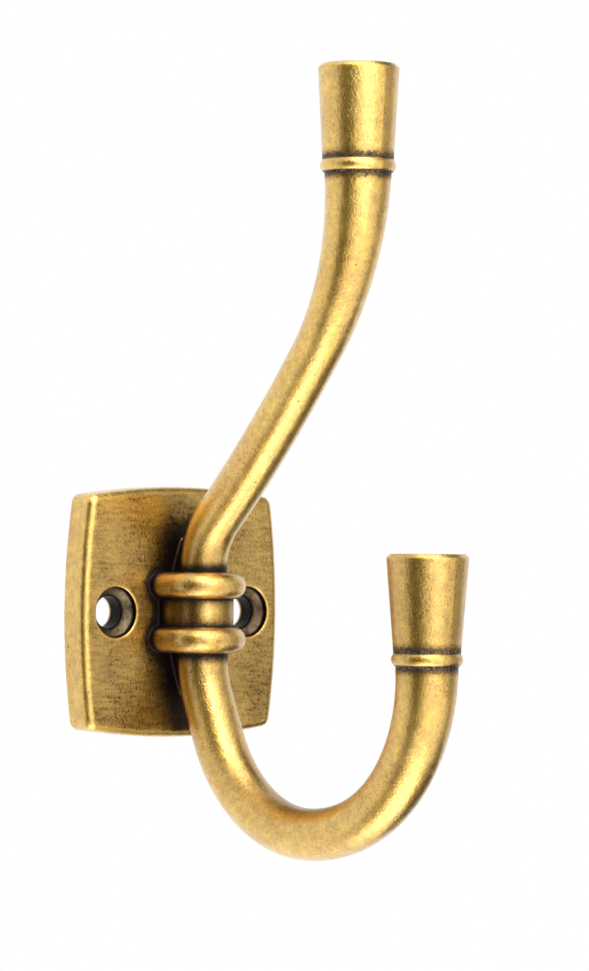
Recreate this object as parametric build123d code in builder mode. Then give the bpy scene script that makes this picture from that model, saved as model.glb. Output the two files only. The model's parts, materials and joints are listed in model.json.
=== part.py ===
from build123d import *
import os

# Furniture hook, cast in one piece and plated. Millimetres, +Z up.
# The back of the plate lies on the wall at Y = 0, centred on X = 0 and Z = 0,
# and the hook stands out towards -Y.

# Back plate: four edges that bow outwards, rounded corners and a rounded face edge
plate_width = 42.0
plate_height = 42.0
side_bow = 1.56
end_bow = 1.56
plate_thickness = 5.5
face_edge_radius = 1.5
corner_over_edge = 0.3
back_edge_bevel = 0.3

# Screw holes, one each side of the saddle: a short land, a cone and a plain bore
screw_edge_distance = 6.9
screw_hole_dia = 5.4
countersink_dia = 8.4
countersink_angle = 90
countersink_land = 0.8
hole_rim_bevel = 0.2

# Saddle: two half rings that bind the rod to the plate, with a band between them
# The rods leave it upright, on its own axis, which stands this far out from the plate's face
saddle_reach = 5.3
ring_outer_dia = 14.4
ring_thickness = 4.5
ring_spacing = 9.0
ring_stand = 2.05

# Rods: one diameter up to their necks, which swell towards the tips.
# The swell is given as pairs of the share of the way along a neck and the share of the growth.
upper_rod_dia = 7.95
upper_neck_dia = 10.8
lower_rod_dia = 8.5
lower_neck_dia = 9.95
neck_swell = [(0, 0), (0.33, 0.24), (0.66, 0.6), (1, 1)]

# Upper arm's axis: straight rise, turn outwards, long shallow run, turn back to upright
upper_root_length = 6.6
upper_root_radius = 12.7
upper_lean = 46.5
upper_run_radius = 276.0
upper_shoulder_lean = 38.9
upper_neck_radius = 45.2
upper_neck_end_length = 1.3
upper_flare_length = 16.3

# Lower arm's axis: straight drop, turn outwards, then a wide J of arcs, the neck the last of them
lower_root_length = 6.6
lower_root_radius = 19.25
lower_lean = 23.8
lower_straight_length = 6.7
lower_heel_radius = 25.2
lower_floor_radius = 33.5
lower_floor_turn = 20.0
lower_toe_radius = 26.6
lower_toe_turn = 20.0
lower_neck_radius = 26.6
lower_neck_end_length = 2.1
lower_flare_length = 16.6

# Flared tips, each with a ring bead at its foot
flare_foot_step = 0.3
tip_dia = 13.2
tip_rim_bevel = 0.6
bead_thickness = 2.4
bead_depth = 2.2
bead_stand = 0.72

# Web that fills the wedge between the rod's root and the plate
web_half_width = 3.1
web_top = 13.2
web_bottom = 14.6
web_end_radius = 0.6

plate_corner_radius = face_edge_radius + corner_over_edge
screw_spacing = plate_width - 2 * screw_edge_distance
band_dia = ring_outer_dia - 2 * ring_stand

face = Plane(origin=(0, -plate_thickness, 0), x_dir=(1, 0, 0), z_dir=(0, -1, 0))
# The hook's middle plane: local X is the distance from the plate's face, local Y is the height
side = Plane(origin=(0, -plate_thickness, 0), x_dir=(0, -1, 0), z_dir=(-1, 0, 0))


def plate_outline():
    """The plate's outline on the wall: four shallow arcs that meet at rounded corners."""
    half_width = plate_width / 2
    half_height = plate_height / 2
    corner_x = half_width - side_bow
    corner_z = half_height - end_bow
    with BuildSketch(Plane.XZ) as outline:
        with BuildLine():
            ThreePointArc((-corner_x, corner_z), (0, half_height), (corner_x, corner_z))
            ThreePointArc((corner_x, corner_z), (half_width, 0), (corner_x, -corner_z))
            ThreePointArc((corner_x, -corner_z), (0, -half_height), (-corner_x, -corner_z))
            ThreePointArc((-corner_x, -corner_z), (-half_width, 0), (-corner_x, corner_z))
        make_face()
        fillet(outline.vertices(), plate_corner_radius)
    return outline.sketch


def web_outline():
    """Lens on the plate's face, pointed above and below the saddle."""
    with BuildSketch(face) as outline:
        with BuildLine():
            ThreePointArc((0, -web_bottom), (-web_half_width, 0), (0, web_top))
            ThreePointArc((0, web_top), (web_half_width, 0), (0, -web_bottom))
        make_face()
        fillet(outline.vertices(), web_end_radius)
    return outline.sketch


def saddle_section():
    """Half section of band and rings, through the saddle's own upright axis."""
    ring_radius = (ring_outer_dia - ring_thickness) / 2
    with BuildSketch(face.offset(saddle_reach)) as section:
        with Locations((band_dia / 4, 0)):
            Rectangle(band_dia / 2, ring_spacing)
        with Locations((ring_radius, 0)):
            with GridLocations(0, ring_spacing, 1, 2):
                Circle(ring_thickness / 2)
    return section.sketch


def upper_axis():
    """The upper arm's axis: up from the saddle, outwards, and back to upright below the tip."""
    with BuildLine(side) as axis:
        root = Line((saddle_reach, 0), (saddle_reach, upper_root_length))
        outward = JernArc(root @ 1, root % 1, upper_root_radius, -upper_lean)
        run = JernArc(outward @ 1, outward % 1, upper_run_radius, upper_lean - upper_shoulder_lean)
        JernArc(run @ 1, run % 1, upper_neck_radius, upper_shoulder_lean)
    return axis.edges()


def lower_axis():
    """The lower arm's axis: down from the saddle, outwards, and round the J to upright."""
    with BuildLine(side) as axis:
        root = Line((saddle_reach, 0), (saddle_reach, -lower_root_length))
        outward = JernArc(root @ 1, root % 1, lower_root_radius, lower_lean)
        run = PolarLine(outward @ 1, lower_straight_length, direction=outward % 1)
        heel = JernArc(run @ 1, run % 1, lower_heel_radius, 90 - lower_lean)
        floor = JernArc(heel @ 1, heel % 1, lower_floor_radius, lower_floor_turn)
        toe = JernArc(floor @ 1, floor % 1, lower_toe_radius, lower_toe_turn)
        JernArc(toe @ 1, toe % 1, lower_neck_radius, 90 - lower_floor_turn - lower_toe_turn)
    return axis.edges()


def round_section(axis, share, diameter):
    """Round section of the rod, square to its axis."""
    with BuildSketch(Plane(origin=axis @ share, x_dir=(1, 0, 0), z_dir=axis % share)) as section:
        Circle(diameter / 2)
    return section.sketch


def tip_section(neck, neck_dia, neck_end_length, flare_length):
    """Half section of a tip: the straight end of the neck, the ring bead, and the flare above it."""
    neck_end = side.to_local_coords(neck @ 1)
    reach = neck_end.X
    neck_radius = neck_dia / 2
    tip_radius = tip_dia / 2
    bead_height = neck_end.Y + neck_end_length
    tip_height = bead_height + flare_length
    with BuildSketch(side) as section:
        with BuildLine():
            Polyline((reach, tip_height), (reach, neck_end.Y), (reach + neck_radius, neck_end.Y),
                     (reach + neck_radius, bead_height),
                     (reach + neck_radius + flare_foot_step, bead_height),
                     (reach + tip_radius, tip_height), (reach, tip_height))
        make_face()
        chamfer(section.vertices().sort_by(Axis.X)[-1], tip_rim_bevel)
        with Locations((reach + neck_radius + bead_stand - bead_depth / 2, bead_height)):
            Ellipse(bead_depth / 2, bead_thickness / 2)
    return section.sketch


with BuildPart() as saddle:
    # Half rings and band round the rod, then their straight legs back to the plate
    section = saddle_section()
    revolve(section, axis=Axis(face.offset(saddle_reach).origin, (0, 0, 1)), revolution_arc=-180)
    extrude(section, amount=-saddle_reach)
    extrude(mirror(section, about=Plane.YZ), amount=-saddle_reach)

with BuildPart() as arms:
    for axis, rod_dia, neck_dia, neck_end_length, flare_length in (
        (upper_axis(), upper_rod_dia, upper_neck_dia, upper_neck_end_length, upper_flare_length),
        (lower_axis(), lower_rod_dia, lower_neck_dia, lower_neck_end_length, lower_flare_length),
    ):
        rod = Wire(axis[:-1])
        neck = Wire(axis[-1:])
        sweep(round_section(rod, 0, rod_dia), path=rod)
        sweep([round_section(neck, share, rod_dia + growth * (neck_dia - rod_dia))
               for share, growth in neck_swell], path=neck, multisection=True)
        tip = tip_section(neck, neck_dia, neck_end_length, flare_length)
        revolve(tip, axis=Axis(neck @ 1, (0, 0, 1)))

with BuildPart() as hook:
    extrude(plate_outline(), amount=plate_thickness)
    fillet(hook.faces().sort_by(Axis.Y)[0].edges(), face_edge_radius)
    chamfer(hook.faces().sort_by(Axis.Y)[-1].edges(), back_edge_bevel)
    add(saddle.part)
    extrude(web_outline(), amount=saddle_reach)
    add(arms.part)

    with Locations(face.offset(-countersink_land)):
        with GridLocations(screw_spacing, 0, 2, 1):
            CounterSinkHole(screw_hole_dia / 2, countersink_dia / 2,
                            counter_sink_angle=countersink_angle)
    plate_face = hook.faces().filter_by(Axis.Y).sort_by(Axis.Y)[-2]
    rims = plate_face.inner_wires().edges().filter_by(GeomType.CIRCLE).filter_by(
        lambda rim: abs(rim.arc_center.X) > screw_spacing / 4)
    chamfer(rims, hole_rim_bevel)

hook.part.label = "hook"
os.makedirs("parts", exist_ok=True)
export_step(hook.part, "parts/hook.step")
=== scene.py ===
# %% [markdown]
# # A furniture hook in antique brass
# The hook is one casting: a bowed back plate, a saddle of two half rings with
# a band between them, and two round arms that end in flared tips. The packed
# model brings the exact solid. This script gives it its finish, a studio with
# soft light, and a camera where the photographer stood.

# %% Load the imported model
import bpy
import json
import math
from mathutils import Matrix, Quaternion, Vector


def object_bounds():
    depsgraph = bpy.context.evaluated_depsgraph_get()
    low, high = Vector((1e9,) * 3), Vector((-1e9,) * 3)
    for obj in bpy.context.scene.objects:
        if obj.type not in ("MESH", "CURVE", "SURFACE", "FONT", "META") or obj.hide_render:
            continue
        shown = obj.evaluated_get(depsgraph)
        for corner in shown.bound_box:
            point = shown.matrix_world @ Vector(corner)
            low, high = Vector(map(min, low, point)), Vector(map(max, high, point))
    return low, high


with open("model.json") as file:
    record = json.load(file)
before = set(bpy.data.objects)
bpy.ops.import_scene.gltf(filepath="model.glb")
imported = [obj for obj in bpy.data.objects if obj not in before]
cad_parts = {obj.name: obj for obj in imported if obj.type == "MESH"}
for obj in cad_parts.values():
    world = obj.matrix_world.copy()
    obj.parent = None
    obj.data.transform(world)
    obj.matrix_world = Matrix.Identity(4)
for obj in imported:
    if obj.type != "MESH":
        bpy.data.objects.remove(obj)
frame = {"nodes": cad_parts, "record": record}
cad_low, cad_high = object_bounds()
hook = frame["nodes"]["hook"]
hook_middle = (cad_low + cad_high) / 2
print("nodes:", list(frame["nodes"]), "size in mm:",
      [round(length * 1000, 1) for length in cad_high - cad_low])

# %% [markdown]
# ## Helpers
# Blender works in metres and in linear light, while a maker thinks in millimetres
# and picks sRGB colours. A few small functions carry one over to the other, and
# add a node with its settings and links in one line.

# %% Units, colours and nodes
MM = 0.001


def linear(hex_colour):
    """An sRGB hex colour such as "#C9A15B" as the linear RGBA that a node takes."""
    channels = [int(hex_colour[i:i + 2], 16) / 255 for i in (1, 3, 5)]
    return tuple(c / 12.92 if c <= 0.04045 else ((c + 0.055) / 1.055) ** 2.4
                 for c in channels) + (1.0,)


def add_node(tree, kind, inputs=None, **settings):
    """One node with its settings. An input is a number, a colour or another node's socket."""
    node = tree.nodes.new(kind)
    for name, value in settings.items():
        setattr(node, name, value)
    for name, value in (inputs or {}).items():
        if isinstance(value, bpy.types.NodeSocket):
            tree.links.new(value, node.inputs[name])
        else:
            node.inputs[name].default_value = value
    return node


def new_material(name):
    """An empty material and its node tree."""
    material = bpy.data.materials.new(name)
    material.use_nodes = True
    material.node_tree.nodes.clear()
    return material, material.node_tree


print("half grey as linear light:", [round(c, 3) for c in linear("#808080")])

# %% [markdown]
# ## The camera
# A catalogue photograph of hardware is taken with a long lens from well back,
# so that parallel edges stay nearly parallel. The camera stands to the left of
# the hook and level with its plate, which shows the curve of both arms and the
# saddle in one view. A camera could be set up by eye, but small errors in its
# angle look like errors in the hook, so its place comes from a fit.

# %% Camera
# Fitted to the outline of the plate in the photograph, in the hook's own frame
camera_place = Vector((-464.5, -588.2, 11.8)) * MM
camera_aim = Vector((14.4, -17.2, 21.4)) * MM
camera_roll = math.radians(0.467)
camera_lens = 164.4

camera_data = bpy.data.cameras.new("camera")
camera_data.lens = camera_lens
camera_data.clip_start = 0.05
camera_data.clip_end = 20
camera = bpy.data.objects.new("camera", camera_data)
bpy.context.scene.collection.objects.link(camera)
bpy.context.scene.camera = camera
camera.location = camera_place
camera.rotation_mode = "QUATERNION"
straight = (camera_aim - camera_place).to_track_quat("-Z", "Y")
camera.rotation_quaternion = straight @ Quaternion((0, 0, 1), camera_roll)
print("camera distance in mm:", round((camera_aim - camera_place).length / MM, 1))

# %% [markdown]
# ## The studio
# Metal shows its surroundings, so the studio matters as much as the finish.
# Product photographers hang white paper all round and then add dark panels, so
# that round rods get the dark and light stripes that make them look round. A
# panorama picture could light the hook too, but each lamp and panel of a studio
# can be moved by itself until its stripe lies right.

# %% White surroundings
bpy.context.scene.view_settings.view_transform = "Standard"
world_fill = 0.7

world = bpy.data.worlds.new("studio")
bpy.context.scene.world = world
world.use_nodes = True
tree = world.node_tree
tree.nodes.clear()
rays = add_node(tree, "ShaderNodeLightPath")
seen = add_node(tree, "ShaderNodeMath",
                {0: rays.outputs["Is Camera Ray"], 1: rays.outputs["Is Glossy Ray"]},
                operation="MAXIMUM")
seen = add_node(tree, "ShaderNodeMath",
                {0: seen.outputs[0], 1: rays.outputs["Is Transmission Ray"]},
                operation="MAXIMUM")
strength = add_node(tree, "ShaderNodeMapRange",
                    {"Value": seen.outputs[0], "To Min": world_fill, "To Max": 1.0})
background = add_node(tree, "ShaderNodeBackground",
                      {"Color": linear("#FFFFFF"), "Strength": strength.outputs[0]})
add_node(tree, "ShaderNodeOutputWorld", {"Surface": background.outputs[0]})
print("world fill:", world_fill)

# %% [markdown]
# ## The floor
# A wide sheet of white paper lies below the hook. It glows a little, as paper
# does under studio lamps that are out of view, and still takes the shadow.

# %% Floor
floor_depth = 520 * MM
floor_size = 6.0
floor_glow = 0.45

bpy.ops.mesh.primitive_plane_add(size=floor_size, location=(0, 0, cad_low.z - floor_depth))
floor = bpy.context.object
floor.name = "floor"
paper, tree = new_material("white_paper")
paint = add_node(tree, "ShaderNodeBsdfDiffuse", {"Color": linear("#F4F4F2")})
glow = add_node(tree, "ShaderNodeEmission", {"Color": linear("#FFFFFF"), "Strength": floor_glow})
glowing_paint = add_node(tree, "ShaderNodeAddShader", {0: paint.outputs[0], 1: glow.outputs[0]})
add_node(tree, "ShaderNodeOutputMaterial", {"Surface": glowing_paint.outputs[0]})
floor.data.materials.append(paper)
print("floor height in mm:", round(floor.location.z / MM, 1))

# %% [markdown]
# ## Lamps and flags
# The lamps form an arch from overhead, through the front, to straight below.
# It gives each rod its bright stripe, wherever the rod turns. Photographers call
# a dark panel a flag. Each lamp and flag gets its place by two angles, as seen
# from the hook, and then turns to it.


# %% Places round the hook
def stand(bearing, rise, distance):
    """A place round the hook, by two angles in degrees and a distance in metres.

    Bearing 0 is straight in front and 90 is on the right. Rise 90 is overhead.
    """
    turn = math.radians(bearing)
    lift = math.radians(rise)
    direction = Vector((math.sin(turn) * math.cos(lift), -math.cos(turn) * math.cos(lift),
                        math.sin(lift)))
    return hook_middle + distance * direction


def face_hook(thing):
    """Turns a lamp or flag to the hook."""
    thing.rotation_mode = "QUATERNION"
    thing.rotation_quaternion = (thing.location - hook_middle).to_track_quat("Z", "Y")


print("in front of the hook, 1 m away:", [round(c, 3) for c in stand(0, 0, 1)])

# %% [markdown]
# ### Lamps
# A soft box is a rectangular lamp with an even white front. The front box is tall,
# because it makes the long bright stripe on every upright rod. The three others
# carry the stripe on, over the bends.


# %% Lamps
def soft_box(name, bearing, rise, distance, width, tall, watts):
    """A lamp whose front is width by tall, in metres, and faces the hook."""
    lamp_data = bpy.data.lights.new(name, "AREA")
    lamp_data.shape = "RECTANGLE"
    lamp_data.size = width
    lamp_data.size_y = tall
    lamp_data.energy = watts
    lamp = bpy.data.objects.new(name, lamp_data)
    bpy.context.scene.collection.objects.link(lamp)
    lamp.location = stand(bearing, rise, distance)
    face_hook(lamp)
    lamp.visible_camera = False


# Each row: name, bearing and rise in degrees, distance, width and tall in metres, watts
lamps = [("front_box", -10, 20, 1.2, 0.95, 1.75, 7.4),
         ("high_box", -36, 44, 1.0, 0.6, 0.42, 2.8),
         ("top_box", -12, 72, 0.8, 0.6, 0.6, 2.4),
         ("low_box", -30, -74, 0.5, 0.4, 0.4, 1.0)]
for lamp_row in lamps:
    soft_box(*lamp_row)
print("lamps:", [lamp_row[0] for lamp_row in lamps])

# %% [markdown]
# ### Flags
# A flag is a board with matt cloth on it. The darker its cloth is, the darker its
# stripe on the metal. The left flag gives the dark stripe beside the bright one.
# The grey flag on the right, and the dark ones high and low on that side, end the
# highlight, so that the rods look round. The camera doesn't see these boards, and
# they throw no shadow.


# %% Flags
def flag(name, bearing, rise, distance, width, tall, hex_colour):
    """A matt board, width by tall in metres, that only reflections see."""
    bpy.ops.mesh.primitive_plane_add(size=1, location=stand(bearing, rise, distance))
    board = bpy.context.object
    board.name = name
    board.scale = (width, tall, 1)
    face_hook(board)
    board.visible_camera = False
    board.visible_shadow = False
    cloth, tree = new_material(name + "_cloth")
    matt = add_node(tree, "ShaderNodeBsdfDiffuse", {"Color": linear(hex_colour)})
    add_node(tree, "ShaderNodeOutputMaterial", {"Surface": matt.outputs[0]})
    board.data.materials.append(cloth)


flag_distance = 0.6
# Each row: name, bearing and rise in degrees, width and tall in metres, colour of the cloth
flags = [("left_flag", -74, 3, 0.52, 0.85, "#332E27"),
         ("low_left_flag", -98, -47, 0.36, 0.3, "#8E8A81"),
         ("right_flag", 62, 6, 0.38, 0.7, "#A09D98"),
         ("low_right_flag", 84, -46, 0.5, 0.46, "#2E2B27"),
         ("high_right_flag", 84, 54, 0.5, 0.36, "#2E2B27")]
for name, bearing, rise, width, tall, shade in flags:
    flag(name, bearing, rise, flag_distance, width, tall, shade)

# %% [markdown]
# ## Antique brass
# Such hooks are cast, tumbled smooth, plated with brass, blackened in a bath
# and then rubbed back. The rubbing brings the gold out on everything that a
# wheel reaches, and leaves the dark bath in corners, pores and holes. A thin
# clear lacquer seals it. The material is built in that order.

# %% Coordinates and pattern sizes
# A Mix node has several sockets of one name, so the ones for colour go by number
MIX_FACTOR, MIX_A, MIX_B, MIX_RESULT = 0, 6, 7, 2


def scale_for(size):
    """The scale at which a pattern's spots are about this size, in object coordinates."""
    return 1 / size


cloud_size = 9 * MM
grain_size = 1.5 * MM
# Real pores and brush lines are about 0.1 mm wide. Both are drawn coarser, so that they show.
dust_size = 0.38 * MM
streak_width = 0.6 * MM
streak_length = 3 * MM

brass, tree = new_material("antique_brass")
place = add_node(tree, "ShaderNodeTexCoord").outputs["Object"]
cloud = add_node(tree, "ShaderNodeTexNoise",
                 {"Vector": place, "Scale": scale_for(cloud_size), "Detail": 4.0,
                  "Roughness": 0.6}).outputs[0]
grain = add_node(tree, "ShaderNodeTexNoise",
                 {"Vector": place, "Scale": scale_for(grain_size), "Detail": 6.0,
                  "Roughness": 0.75}).outputs[0]
dust = add_node(tree, "ShaderNodeTexNoise",
                {"Vector": place, "Scale": scale_for(dust_size), "Detail": 1.5,
                 "Roughness": 0.5}).outputs[0]
brushed = add_node(tree, "ShaderNodeVectorMath",
                   {0: place, 1: (streak_width / streak_length, 1.0, 1.0)},
                   operation="MULTIPLY").outputs[0]
streaks = add_node(tree, "ShaderNodeTexNoise",
                   {"Vector": brushed, "Scale": scale_for(streak_width),
                    "Detail": 2.0}).outputs[0]
print("pattern sizes in mm:", [round(size / MM, 2) for size in
                               (cloud_size, grain_size, dust_size, streak_width, streak_length)])

# %% [markdown]
# ### Plated brass
# Rubbed brass is never one colour: the wheel leaves lighter and deeper clouds
# nearly a centimetre wide, and a fine grain over them. A picture wrapped round
# the hook would show seams. Noise in object coordinates has none, because it
# fills the space that the hook stands in.

# %% Brass colour
deep_gold = linear("#EBBB3E")
light_gold = linear("#F6CA4C")
grain_brown = linear("#BC8A2C")

cloudy = add_node(tree, "ShaderNodeMapRange",
                  {"Value": cloud, "From Min": 0.35, "From Max": 0.65},
                  interpolation_type="SMOOTHSTEP").outputs[0]
gold = add_node(tree, "ShaderNodeMix",
                {MIX_FACTOR: cloudy, MIX_A: deep_gold, MIX_B: light_gold},
                data_type="RGBA").outputs[MIX_RESULT]
grainy = add_node(tree, "ShaderNodeMapRange",
                  {"Value": grain, "From Min": 0.62, "From Max": 0.36, "To Max": 0.75}).outputs[0]
gold = add_node(tree, "ShaderNodeMix",
                {MIX_FACTOR: grainy, MIX_A: gold, MIX_B: grain_brown},
                data_type="RGBA").outputs[MIX_RESULT]
print("deep gold as linear light:", [round(c, 3) for c in deep_gold])

# %% [markdown]
# ### Hollows and edges
# The bath stays in hollows, and they could be painted in one by one. Ambient
# occlusion tells how shut in a point is, so it finds all the corners that a
# rubbing wheel can't reach. A near one finds the grooves beside beads and rings.
# A far one darkens the plate beside the arms, as patina and as painted shade of
# the arms. Turned inwards, it finds the sharp edges, which the wheel rubs hardest.
# A Map Range node makes each into a share from 0 to 1. Where From Min is the
# larger one, low values give the most.

# %% Hollows and edges
near_reach = 2.2 * MM
far_reach = 11 * MM
edge_reach = 0.8 * MM

near = add_node(tree, "ShaderNodeAmbientOcclusion", {"Distance": near_reach},
                only_local=True, samples=10).outputs["AO"]
far = add_node(tree, "ShaderNodeAmbientOcclusion", {"Distance": far_reach},
               only_local=True, samples=10).outputs["AO"]
inner = add_node(tree, "ShaderNodeAmbientOcclusion", {"Distance": edge_reach},
                 only_local=True, inside=True, samples=8).outputs["AO"]
near_dark = add_node(tree, "ShaderNodeMapRange",
                     {"Value": near, "From Min": 0.98, "From Max": 0.76}).outputs[0]
# The far occlusion gives patina and painted shade of the arms on the plate.
far_patina_and_shade = add_node(tree, "ShaderNodeMapRange",
                    {"Value": far, "From Min": 0.62, "From Max": 0.28}).outputs[0]
worn = add_node(tree, "ShaderNodeMapRange",
                {"Value": inner, "From Min": 0.93, "From Max": 0.6}).outputs[0]
print("reaches in mm:", near_reach / MM, far_reach / MM, edge_reach / MM)

# %% [markdown]
# ### Screw holes
# A wheel can't reach into a hole, so the screw holes stay as the bath left them:
# black at the land and in the bore, and grey brown on the cone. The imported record
# says where they are. The distance from a hole's axis tells its parts apart, and
# each part ends in a blend of half a millimetre at most.

# %% Screw holes
mounts = frame["record"]["mounts"]
screws = next(mount for mount in mounts if mount["name"] == "wall_screws")["dims"]
screw_place = screws["spacing_x_mm"] / 2 * MM
bore_radius = screws["hole_r_mm"] * MM
land_radius = 4.2 * MM

# parts.outputs 0, 1 and 2 are the place along X, Y and Z
parts = add_node(tree, "ShaderNodeSeparateXYZ", {0: place})
sideways = add_node(tree, "ShaderNodeMath", {0: parts.outputs[0]}, operation="ABSOLUTE").outputs[0]
across = add_node(tree, "ShaderNodeMath", {0: sideways, 1: screw_place},
                  operation="SUBTRACT").outputs[0]
from_screw = add_node(tree, "ShaderNodeCombineXYZ", {0: across, 2: parts.outputs[2]}).outputs[0]
from_screw = add_node(tree, "ShaderNodeVectorMath", {0: from_screw},
                      operation="LENGTH").outputs["Value"]
in_hole = add_node(tree, "ShaderNodeMapRange",
                   {"Value": from_screw, "From Min": land_radius + 0.12 * MM,
                    "From Max": land_radius + 0.02 * MM}).outputs[0]
off_back = add_node(tree, "ShaderNodeMapRange",
                    {"Value": parts.outputs[1], "From Min": -0.1 * MM,
                     "From Max": -0.5 * MM}).outputs[0]
in_hole = add_node(tree, "ShaderNodeMath", {0: in_hole, 1: off_back},
                   operation="MULTIPLY").outputs[0]
on_cone = add_node(tree, "ShaderNodeMapRange",
                   {"Value": from_screw, "From Min": bore_radius + 0.05 * MM,
                    "From Max": bore_radius + 0.5 * MM}).outputs[0]
below_land = add_node(tree, "ShaderNodeMapRange",
                      {"Value": from_screw, "From Min": land_radius - 0.05 * MM,
                       "From Max": land_radius - 0.3 * MM}).outputs[0]
on_cone = add_node(tree, "ShaderNodeMath", {0: on_cone, 1: below_land},
                   operation="MULTIPLY").outputs[0]
print("screw place and bore in mm:", screw_place / MM, bore_radius / MM)

# %% [markdown]
# ### Plate face
# A wheel slides over a flat face and bites on a round rod, so the plate keeps
# more of its brown film. The film is uneven: it follows the clouds, the grain and
# the streaks that the wheel left.

# %% Plate face
face_height = 5.5 * MM

normal = add_node(tree, "ShaderNodeNewGeometry").outputs["Normal"]
outwards = add_node(tree, "ShaderNodeSeparateXYZ", {0: normal}).outputs[1]
flat = add_node(tree, "ShaderNodeMapRange",
                {"Value": outwards, "From Min": -0.85, "From Max": -0.99}).outputs[0]
on_plate = add_node(tree, "ShaderNodeMapRange",
                    {"Value": parts.outputs[1], "From Min": -face_height - 0.4 * MM,
                     "From Max": -face_height - 0.05 * MM}).outputs[0]
on_plate = add_node(tree, "ShaderNodeMath", {0: on_plate, 1: flat}, operation="MULTIPLY").outputs[0]
film_and_shade = add_node(tree, "ShaderNodeMapRange",
                {"Value": cloud, "From Min": 0.62, "From Max": 0.35,
                 "To Min": 0.25, "To Max": 0.5}).outputs[0]
uneven = add_node(tree, "ShaderNodeMath", {0: grain, 1: streaks}, operation="ADD").outputs[0]
uneven = add_node(tree, "ShaderNodeMapRange",
                  {"Value": uneven, "From Min": 0.75, "From Max": 1.25,
                   "To Min": -0.22, "To Max": 0.22}).outputs[0]
film_and_shade = add_node(tree, "ShaderNodeMath", {0: film_and_shade, 1: uneven}, operation="ADD").outputs[0]
film_and_shade = add_node(tree, "ShaderNodeMath", {0: film_and_shade, 1: on_plate}, operation="MULTIPLY").outputs[0]
print("plate face in mm off the wall:", face_height / MM)

# %% [markdown]
# ### The band between the rings
# The band lies deeper than the rings on both sides of it, and it gets half of a
# full film. One spot, left of the middle, gets less film, so the brass shows there.
# The band is found by its radius round the saddle's axis.

# %% Band
saddle_reach = 5.3 * MM
band_radius = 5.15 * MM
band_half_height = 2.3 * MM
band_film = 0.45
clear_spot = Vector((-2.4, -15.3, 0.4)) * MM
spot_inside = 0.6 * MM
spot_outside = 2.4 * MM

past_axis = add_node(tree, "ShaderNodeMath",
                     {0: parts.outputs[1], 1: face_height + saddle_reach},
                     operation="ADD").outputs[0]
from_axis = add_node(tree, "ShaderNodeCombineXYZ",
                     {0: parts.outputs[0], 1: past_axis}).outputs[0]
from_axis = add_node(tree, "ShaderNodeVectorMath", {0: from_axis},
                     operation="LENGTH").outputs["Value"]
on_band = add_node(tree, "ShaderNodeMapRange",
                   {"Value": from_axis, "From Min": band_radius + 0.6 * MM,
                    "From Max": band_radius + 0.1 * MM, "To Max": band_film}).outputs[0]
from_spot = add_node(tree, "ShaderNodeVectorMath", {0: place, 1: clear_spot},
                     operation="DISTANCE").outputs["Value"]
kept = add_node(tree, "ShaderNodeMapRange",
                {"Value": from_spot, "From Min": spot_inside, "From Max": spot_outside,
                 "To Min": -0.5, "To Max": 1.0}).outputs[0]
on_band = add_node(tree, "ShaderNodeMath", {0: on_band, 1: kept}, operation="MULTIPLY").outputs[0]
off_middle = add_node(tree, "ShaderNodeMath", {0: parts.outputs[2]},
                      operation="ABSOLUTE").outputs[0]
in_gap = add_node(tree, "ShaderNodeMapRange",
                  {"Value": off_middle, "From Min": band_half_height + 0.6 * MM,
                   "From Max": band_half_height}).outputs[0]
film_and_shade = add_node(tree, "ShaderNodeMath", {0: on_band, 1: in_gap, 2: film_and_shade},
                operation="MULTIPLY_ADD").outputs[0]
print("band radius in mm:", band_radius / MM)

# %% [markdown]
# ### Side that faces the wall
# The rods are made browner the nearer they are to the wall. The plate's own face
# is left out of this, because it has its film.

# %% Wall side
wall_side_start = -16 * MM
wall_side_full = -10 * MM
wall_side_film = 0.5

wall_side = add_node(tree, "ShaderNodeMapRange",
                     {"Value": parts.outputs[1], "From Min": wall_side_start,
                      "From Max": wall_side_full, "To Max": wall_side_film}).outputs[0]
off_face = add_node(tree, "ShaderNodeMapRange",
                    {"Value": parts.outputs[1], "From Min": -face_height - 0.6 * MM,
                     "From Max": -face_height - 0.2 * MM, "To Min": 1.0, "To Max": 0.0}).outputs[0]
film_and_shade = add_node(tree, "ShaderNodeMath", {0: wall_side, 1: off_face, 2: film_and_shade},
                operation="MULTIPLY_ADD").outputs[0]
print("film grows from", -wall_side_start / MM, "to", -wall_side_full / MM, "mm off the wall")

# %% [markdown]
# ### Inside of the bowl
# The lower arm is a bowl. Its inside gets more film, as painted shade where it
# faces the plate and the saddle. A point of it lies inside when its surface faces
# the bowl's middle, so the angle between the two tells how much film goes there.
# The saddle and the upper arm are left out by their place.

# %% Inside of the bowl
bowl_middle = Vector((0, -38, -8)) * MM
bowl_shade = 0.5
bowl_top = 12 * MM
bowl_top_full = 6 * MM
bowl_back = -20 * MM
bowl_back_full = -32 * MM

to_middle = add_node(tree, "ShaderNodeVectorMath", {0: bowl_middle, 1: place},
                     operation="SUBTRACT").outputs[0]
to_middle = add_node(tree, "ShaderNodeVectorMath", {0: to_middle}, operation="NORMALIZE").outputs[0]
faces_middle = add_node(tree, "ShaderNodeVectorMath", {0: to_middle, 1: normal},
                        operation="DOT_PRODUCT").outputs["Value"]
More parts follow.
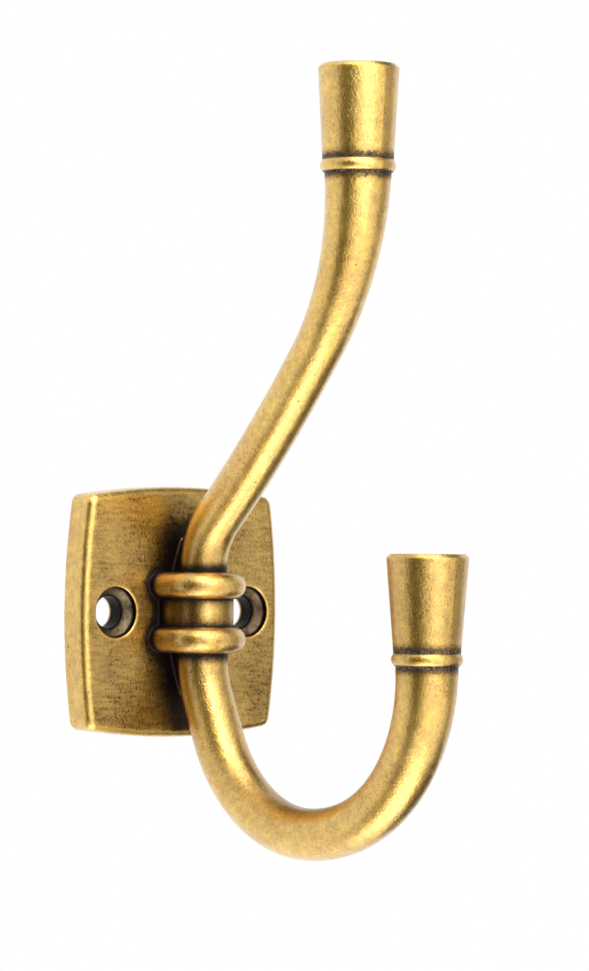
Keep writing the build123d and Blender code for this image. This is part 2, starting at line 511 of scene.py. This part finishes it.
# Painted shade inside the bowl, where it faces the plate and the saddle.
bowl_painted_shade = add_node(tree, "ShaderNodeMapRange",
                       {"Value": faces_middle, "From Min": 0.2, "From Max": 0.9,
                        "To Max": bowl_shade}).outputs[0]
below_top = add_node(tree, "ShaderNodeMapRange",
                     {"Value": parts.outputs[2], "From Min": bowl_top,
                      "From Max": bowl_top_full}).outputs[0]
off_wall = add_node(tree, "ShaderNodeMapRange",
                    {"Value": parts.outputs[1], "From Min": bowl_back,
                     "From Max": bowl_back_full}).outputs[0]
bowl_painted_shade = add_node(tree, "ShaderNodeMath", {0: bowl_painted_shade, 1: off_wall},
                       operation="MULTIPLY").outputs[0]
film_and_shade = add_node(tree, "ShaderNodeMath", {0: bowl_painted_shade, 1: below_top, 2: film_and_shade},
                operation="MULTIPLY_ADD").outputs[0]
print("bowl's middle in mm:", [round(c / MM, 1) for c in bowl_middle])

# %% [markdown]
# ### Lower half and lower tip
# The lower half gets slightly more film, as painted shade: less light reaches the
# hook towards the bottom. Its tip gets the most film.

# %% Lower half and lower tip
low_start = 20 * MM
low_full = -10 * MM
lower_half_shade = 0.13
lower_tip = Vector((0, -67, 2)) * MM
tip_reach = 10 * MM
neck_reach = 17 * MM
lower_tip_film = 0.2

# Painted shade: the lower half is browned more towards the bottom.
low_painted_shade = add_node(tree, "ShaderNodeMapRange",
                    {"Value": parts.outputs[2], "From Min": low_start, "From Max": low_full,
                     "To Max": lower_half_shade}).outputs[0]
film_and_shade = add_node(tree, "ShaderNodeMath", {0: film_and_shade, 1: low_painted_shade}, operation="ADD").outputs[0]
from_tip = add_node(tree, "ShaderNodeVectorMath", {0: place, 1: lower_tip},
                    operation="DISTANCE").outputs["Value"]
tip_film = add_node(tree, "ShaderNodeMapRange",
                    {"Value": from_tip, "From Min": neck_reach, "From Max": tip_reach,
                     "To Max": lower_tip_film}).outputs[0]
film_and_shade = add_node(tree, "ShaderNodeMath", {0: film_and_shade, 1: tip_film}, operation="ADD").outputs[0]
print("film added to lower half and tip:", lower_half_shade, lower_tip_film)

# %% [markdown]
# ### Strip behind the arms
# The arms hide a strip down the middle of the plate. It is painted nearly black,
# as painted shade and the painted reflection of the arms' dark backs, except at
# the plate's top, which the arm leaves free.

# %% Strip behind the arms
strip_edge = 4.5 * MM
strip_middle = 1.5 * MM
strip_shade = 0.6
strip_top = 21 * MM
strip_top_full = 13 * MM

# Painted shade and painted reflection: the plate behind the arms is made nearly black.
painted_arm_shade = add_node(tree, "ShaderNodeMapRange",
                       {"Value": sideways, "From Min": strip_edge, "From Max": strip_middle,
                        "To Max": strip_shade}).outputs[0]
painted_arm_shade = add_node(tree, "ShaderNodeMath", {0: painted_arm_shade, 1: on_plate},
                       operation="MULTIPLY").outputs[0]
below_free_top = add_node(tree, "ShaderNodeMapRange",
                          {"Value": parts.outputs[2], "From Min": strip_top,
                           "From Max": strip_top_full}).outputs[0]
painted_arm_shade = add_node(tree, "ShaderNodeMath", {0: painted_arm_shade, 1: below_free_top},
                       operation="MULTIPLY").outputs[0]
film_and_shade = add_node(tree, "ShaderNodeMath", {0: film_and_shade, 1: painted_arm_shade}, operation="ADD").outputs[0]
print("strip's width in mm:", 2 * strip_edge / MM)

# %% [markdown]
# ### Grooves beside the beads
# The bead at the foot of each tip makes a groove on both its sides. The bath
# stays there as a dark ring with a ragged edge, 1 to 2 millimetres wide. The
# grooves are too open for ambient occlusion, so they are found by their height.
# Other parts of the hook share the lower bead's height, so its grooves also have
# a limit on how near to the wall they reach.

# %% Grooves beside the beads
upper_bead = 72.4 * MM
lower_bead = -6.4 * MM
lower_tip_start = -50 * MM
groove_start = 1.2 * MM
groove_width = 1.6 * MM
groove_strength = 0.95
# Added to the distance from the lower bead on everything nearer to the wall than its tip
out_of_reach = 10 * MM

to_upper = add_node(tree, "ShaderNodeMath", {0: parts.outputs[2], 1: upper_bead},
                    operation="SUBTRACT").outputs[0]
to_upper = add_node(tree, "ShaderNodeMath", {0: to_upper}, operation="ABSOLUTE").outputs[0]
to_lower = add_node(tree, "ShaderNodeMath", {0: parts.outputs[2], 1: lower_bead},
                    operation="SUBTRACT").outputs[0]
to_lower = add_node(tree, "ShaderNodeMath", {0: to_lower}, operation="ABSOLUTE").outputs[0]
behind = add_node(tree, "ShaderNodeMapRange",
                  {"Value": parts.outputs[1], "From Min": lower_tip_start,
                   "From Max": lower_tip_start + 2 * MM, "To Max": out_of_reach}).outputs[0]
to_lower = add_node(tree, "ShaderNodeMath", {0: to_lower, 1: behind}, operation="ADD").outputs[0]
to_bead = add_node(tree, "ShaderNodeMath", {0: to_upper, 1: to_lower},
                   operation="MINIMUM").outputs[0]
off_bead = add_node(tree, "ShaderNodeMapRange",
                    {"Value": to_bead, "From Min": 0.85 * MM, "From Max": 1.1 * MM}).outputs[0]
beside_bead = add_node(tree, "ShaderNodeMapRange",
                       {"Value": to_bead, "From Min": groove_start,
                        "From Max": groove_start + groove_width,
                        "To Min": groove_strength, "To Max": 0.0}).outputs[0]
beside_bead = add_node(tree, "ShaderNodeMath", {0: beside_bead, 1: off_bead},
                       operation="MULTIPLY").outputs[0]
print("beads at heights in mm:", upper_bead / MM, lower_bead / MM)

# %% [markdown]
# ### Pores
# The casting's skin has fine pores that keep some dark filling. They crowd
# together in some areas and are rare in others, so a fine noise sets their places
# and the clouds say how strongly they show. Here and there is a deeper pit.

# %% Pores
pit_spacing = 4 * MM
pit_radius = 0.22 * MM
pit_floor_radius = 0.1 * MM

pores = add_node(tree, "ShaderNodeMapRange",
                 {"Value": dust, "From Min": 0.5, "From Max": 0.74},
                 interpolation_type="SMOOTHSTEP").outputs[0]
crowding = add_node(tree, "ShaderNodeMapRange",
                    {"Value": cloud, "From Min": 0.62, "From Max": 0.4,
                     "To Min": 0.16, "To Max": 0.45}).outputs[0]
pores = add_node(tree, "ShaderNodeMath", {0: pores, 1: crowding}, operation="MULTIPLY").outputs[0]
# A Voronoi node measures its distance in cells, so the pit's radius is a share of one
cells = add_node(tree, "ShaderNodeTexVoronoi", {"Vector": place, "Scale": scale_for(pit_spacing)})
pits = add_node(tree, "ShaderNodeMapRange",
                {"Value": cells.outputs["Distance"], "From Min": pit_radius / pit_spacing,
                 "From Max": pit_floor_radius / pit_spacing, "To Max": 0.8}).outputs[0]
print("pits", 2 * pit_radius / MM, "mm wide, one in each", pit_spacing / MM, "mm")

# %% [markdown]
# ### One blemish
# A casting fault near the plate's upper edge has held a cluster of dark
# scratches. The same fine noise draws them, inside an oval at the fault's place.

# %% Blemish
blemish_place = Vector((-10, -5.5, 19)) * MM
blemish_half_width = 2.2 * MM
blemish_half_height = 1.1 * MM

offset = add_node(tree, "ShaderNodeVectorMath", {0: place, 1: blemish_place},
                  operation="SUBTRACT").outputs[0]
offset = add_node(tree, "ShaderNodeVectorMath",
                  {0: offset, 1: (1 / blemish_half_width, 0, 1 / blemish_half_height)},
                  operation="MULTIPLY").outputs[0]
from_blemish = add_node(tree, "ShaderNodeVectorMath", {0: offset},
                        operation="LENGTH").outputs["Value"]
blemish = add_node(tree, "ShaderNodeMapRange",
                   {"Value": from_blemish, "From Min": 1.0, "From Max": 0.4}).outputs[0]
blemish = add_node(tree, "ShaderNodeMath", {0: blemish, 1: on_plate},
                   operation="MULTIPLY").outputs[0]
scratched = add_node(tree, "ShaderNodeMapRange",
                     {"Value": dust, "From Min": 0.5, "From Max": 0.58}).outputs[0]
blemish = add_node(tree, "ShaderNodeMath", {0: blemish, 1: scratched},
                   operation="MULTIPLY").outputs[0]
pits = add_node(tree, "ShaderNodeMath", {0: pits, 1: blemish}, operation="MAXIMUM").outputs[0]
print("blemish's place in mm:", [round(c / MM, 1) for c in blemish_place])

# %% [markdown]
# ### Brown film
# Where the bath is thin it is a clear olive brown over the gold. All the layers so
# far add up here, and the worn edges are taken off again. Some of them are painted
# shade: the far occlusion, the lower half, the inside of the bowl and the strip
# behind the arms.

# %% Brown film
film_brown = linear("#6A4B10")
film_and_shade_in_hollows = 0.7
film_in_grooves = 0.8

# The far occlusion adds painted shade here, together with patina.
thin_film_and_shade = add_node(tree, "ShaderNodeMath", {0: far_patina_and_shade, 1: film_and_shade_in_hollows, 2: film_and_shade},
                operation="MULTIPLY_ADD").outputs[0]
thin_film_and_shade = add_node(tree, "ShaderNodeMath", {0: beside_bead, 1: film_in_grooves, 2: thin_film_and_shade},
                operation="MULTIPLY_ADD").outputs[0]
thin_film_and_shade = add_node(tree, "ShaderNodeMath", {0: thin_film_and_shade, 1: pores}, operation="ADD").outputs[0]
thin_film_and_shade = add_node(tree, "ShaderNodeMath", {0: thin_film_and_shade, 1: worn}, operation="SUBTRACT",
                use_clamp=True).outputs[0]
colour = add_node(tree, "ShaderNodeMix",
                  {MIX_FACTOR: thin_film_and_shade, MIX_A: gold, MIX_B: film_brown},
                  data_type="RGBA").outputs[MIX_RESULT]
print("film as linear light:", [round(c, 3) for c in film_brown])

# %% [markdown]
# ### Black crust
# Where the bath is thick it is a nearly black crust with a ragged edge. Beside the
# beads it is greyer and mottled, because the wheel has thinned it. The far
# occlusion and the strip behind the arms add painted shade to it.

# %% Black crust
crust_black = linear("#352B28")
crust_grey = linear("#78695A")
crust_and_shade_in_hollows = 0.8
raggedness = 1.5

ragged = add_node(tree, "ShaderNodeMath", {0: grain, 1: raggedness, 2: near_dark},
                  operation="MULTIPLY_ADD").outputs[0]
rough_edge = add_node(tree, "ShaderNodeMapRange",
                      {"Value": dust, "From Min": 0.35, "From Max": 0.65,
                       "To Min": 0.6, "To Max": 1.15}).outputs[0]
ragged = add_node(tree, "ShaderNodeMath", {0: beside_bead, 1: rough_edge, 2: ragged},
                  operation="MULTIPLY_ADD").outputs[0]
# The strip behind the arms adds its painted shade to the crust.
ragged = add_node(tree, "ShaderNodeMath", {0: ragged, 1: painted_arm_shade}, operation="ADD").outputs[0]
# The far occlusion adds painted shade to the crust, together with patina.
deep = add_node(tree, "ShaderNodeMath", {0: far_patina_and_shade, 1: crust_and_shade_in_hollows, 2: ragged},
                operation="MULTIPLY_ADD").outputs[0]
thick_crust_and_shade = add_node(tree, "ShaderNodeMapRange",
                 {"Value": deep, "From Min": 1.05, "From Max": 1.5},
                 interpolation_type="SMOOTHSTEP").outputs[0]
thick_crust_and_shade = add_node(tree, "ShaderNodeMath", {0: thick_crust_and_shade, 1: pits}, operation="MAXIMUM").outputs[0]
mottled = add_node(tree, "ShaderNodeMapRange",
                   {"Value": dust, "From Min": 0.4, "From Max": 0.62}).outputs[0]
mottled = add_node(tree, "ShaderNodeMath", {0: mottled, 1: beside_bead},
                   operation="MULTIPLY").outputs[0]
bath = add_node(tree, "ShaderNodeMix",
                {MIX_FACTOR: mottled, MIX_A: crust_black, MIX_B: crust_grey},
                data_type="RGBA").outputs[MIX_RESULT]
colour = add_node(tree, "ShaderNodeMix",
                  {MIX_FACTOR: thick_crust_and_shade, MIX_A: colour, MIX_B: bath},
                  data_type="RGBA").outputs[MIX_RESULT]
print("crust as linear light:", [round(c, 3) for c in crust_black])

# %% [markdown]
# ### Colour in the screw holes
# The cone is a specked grey brown. The bore and the land above the cone are black.

# %% Colour in the screw holes
bore_black = linear("#1A1410")
cone_dark = linear("#4E4130")
cone_light = linear("#8E7C62")

specked = add_node(tree, "ShaderNodeMapRange",
                   {"Value": grain, "From Min": 0.35, "From Max": 0.65}).outputs[0]
cone_colour = add_node(tree, "ShaderNodeMix",
                       {MIX_FACTOR: specked, MIX_A: cone_dark, MIX_B: cone_light},
                       data_type="RGBA").outputs[MIX_RESULT]
hole_colour = add_node(tree, "ShaderNodeMix",
                       {MIX_FACTOR: on_cone, MIX_A: bore_black, MIX_B: cone_colour},
                       data_type="RGBA").outputs[MIX_RESULT]
colour = add_node(tree, "ShaderNodeMix",
                  {MIX_FACTOR: in_hole, MIX_A: colour, MIX_B: hole_colour},
                  data_type="RGBA").outputs[MIX_RESULT]
print("cone as linear light:", [round(c, 3) for c in cone_dark])

# %% [markdown]
# ### Gloss
# Rubbed brass is satin and the crust is dull, so the roughness follows the crust.
# The lacquer shines only over clean gold, which whitens the highlights there.

# %% Gloss
rubbed_roughness = 0.32
crust_roughness = 0.5
lacquer_lost_to_film = 0.8

dull = add_node(tree, "ShaderNodeMath", {0: thick_crust_and_shade, 1: in_hole}, operation="MAXIMUM").outputs[0]
roughness = add_node(tree, "ShaderNodeMapRange",
                     {"Value": dull, "To Min": rubbed_roughness,
                      "To Max": crust_roughness}).outputs[0]
# The lacquer is taken off over film, crust and painted shade alike.
stain_and_shade = add_node(tree, "ShaderNodeMath", {0: thin_film_and_shade, 1: lacquer_lost_to_film, 2: dull},
                   operation="MULTIPLY_ADD").outputs[0]
lacquer = add_node(tree, "ShaderNodeMapRange",
                   {"Value": stain_and_shade, "To Min": 1.0, "To Max": 0.0}).outputs[0]
print("roughness from", rubbed_roughness, "to", crust_roughness)

# %% [markdown]
# ### Relief
# Cast and tumbled metal is slightly wavy, so the light stripes on the rods
# wander. The grain and the dust break up the edges of the stripes, and each edge
# of the metal is rounded. To model this would take millions of faces. Bump and
# bevel nodes only tilt the shading, which is enough at this depth.

# %% Relief
edge_softness = 0.6 * MM
wave_size = 7 * MM
wave_depth = 0.2 * MM
grain_depth = 0.06 * MM
dust_depth = 0.08 * MM
pit_depth = 0.06 * MM

soft_edges = add_node(tree, "ShaderNodeBevel", {"Radius": edge_softness}, samples=6).outputs[0]
waves = add_node(tree, "ShaderNodeTexNoise",
                 {"Vector": place, "Scale": scale_for(wave_size), "Detail": 2.0}).outputs[0]
wavy = add_node(tree, "ShaderNodeBump",
                {"Height": waves, "Distance": wave_depth, "Strength": 1.0,
                 "Normal": soft_edges}).outputs[0]
satin = add_node(tree, "ShaderNodeBump",
                 {"Height": grain, "Distance": grain_depth, "Strength": 1.0,
                  "Normal": wavy}).outputs[0]
fine = add_node(tree, "ShaderNodeBump",
                {"Height": dust, "Distance": dust_depth, "Strength": 1.0,
                 "Normal": satin}).outputs[0]
sunk = add_node(tree, "ShaderNodeBump",
                {"Height": pits, "Distance": pit_depth, "Strength": 1.0, "Normal": fine},
                invert=True).outputs[0]
print("edges softened by", edge_softness / MM, "mm")

# %% [markdown]
# ### The finished brass
# The metal keeps its default IOR, because its colour already says how it reflects.
# The lacquer is the coat. Its IOR is above the 1.5 of a real one, because the
# highlights have to come out nearly white.

# %% Finished brass on the hook
lacquer_roughness = 0.3
lacquer_ior = 2.0

shader = add_node(tree, "ShaderNodeBsdfPrincipled",
                  {"Base Color": colour, "Metallic": 1.0, "Roughness": roughness, "Normal": sunk,
                   "Coat Weight": lacquer, "Coat Roughness": lacquer_roughness,
                   "Coat IOR": lacquer_ior})
add_node(tree, "ShaderNodeOutputMaterial", {"Surface": shader.outputs[0]})
for slot in hook.material_slots:
    slot.material = brass
print("slots:", [slot.name for slot in hook.material_slots])
